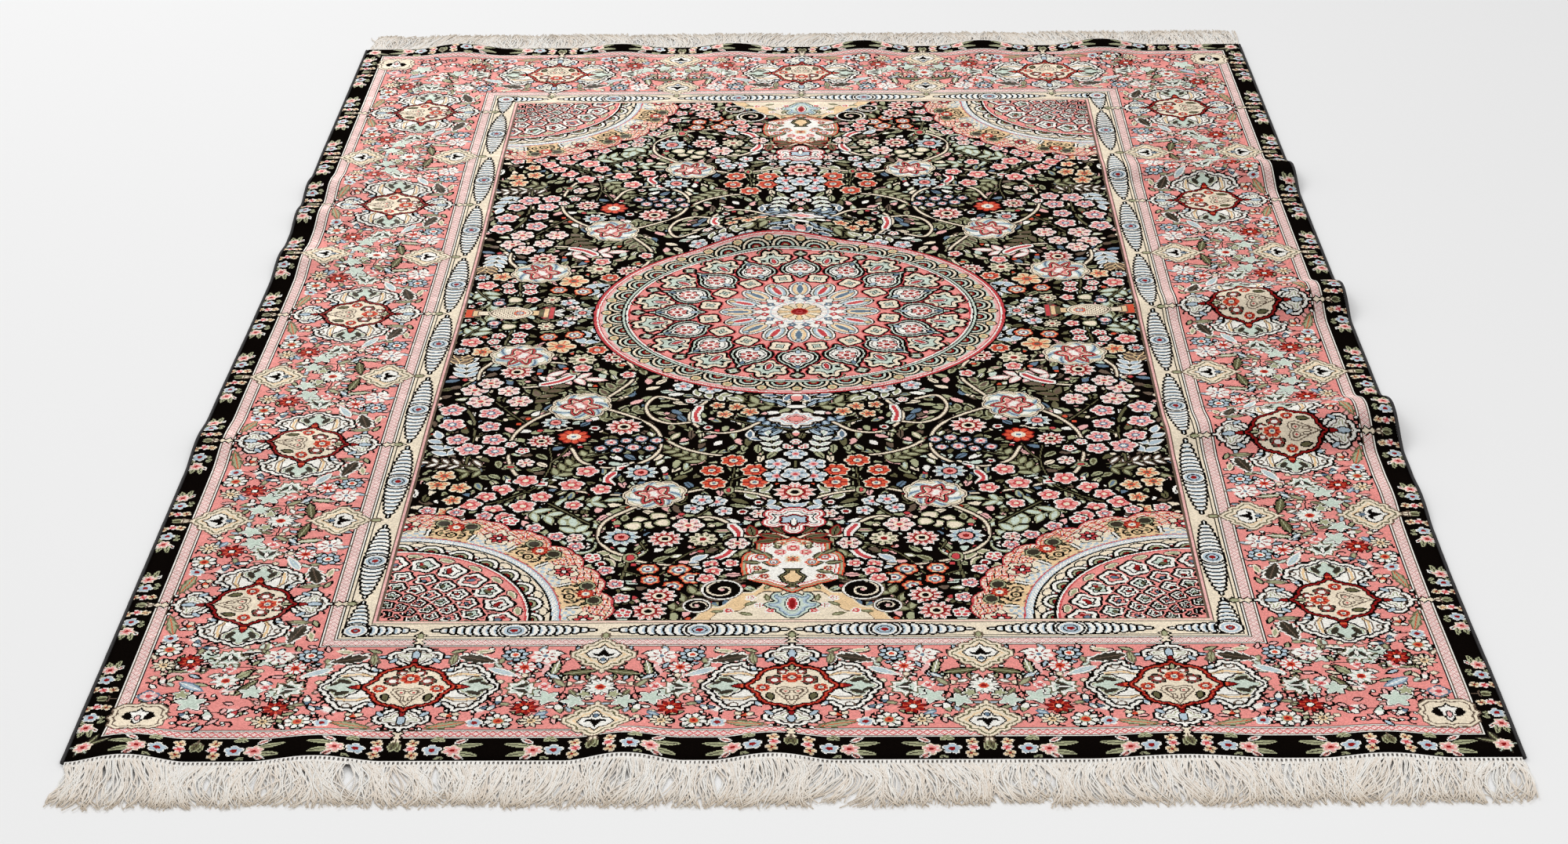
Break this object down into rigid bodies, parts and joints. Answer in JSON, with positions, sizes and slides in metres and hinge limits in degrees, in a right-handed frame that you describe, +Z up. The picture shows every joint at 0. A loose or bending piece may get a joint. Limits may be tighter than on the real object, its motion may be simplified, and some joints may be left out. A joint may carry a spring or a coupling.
{
  "type": "oriental silk rug",
  "caption": "Oblong knotted silk pile rug lying on a floor with soft waves, a central medallion, bordered field, overcast long edges and a yarn fringe at each short end.",
  "frame": {"origin": "on the floor, under the middle of the rug with its fringes", "axes": "+Y along the length towards the far end, +X across the width to the right, +Z up out of the pile"},
  "size_m": [1.22, 2.0298, 0.0256],
  "materials": {
    "silk_pile": "close-cut silk pile in rose, near-black, cream, pale blue and green, with a soft sheen",
    "overcast_yarn": "black yarn wound round the edge cords",
    "fringe_yarn": "undyed off-white warp yarn, a little darker and frayed at the tips"
  },
  "bodies": {
    "root": {"rug": "silk_pile", "selvedge_left": "overcast_yarn", "selvedge_right": "overcast_yarn", "fringe_near": "fringe_yarn", "fringe_far": "fringe_yarn"}
  },
  "joints": []
}
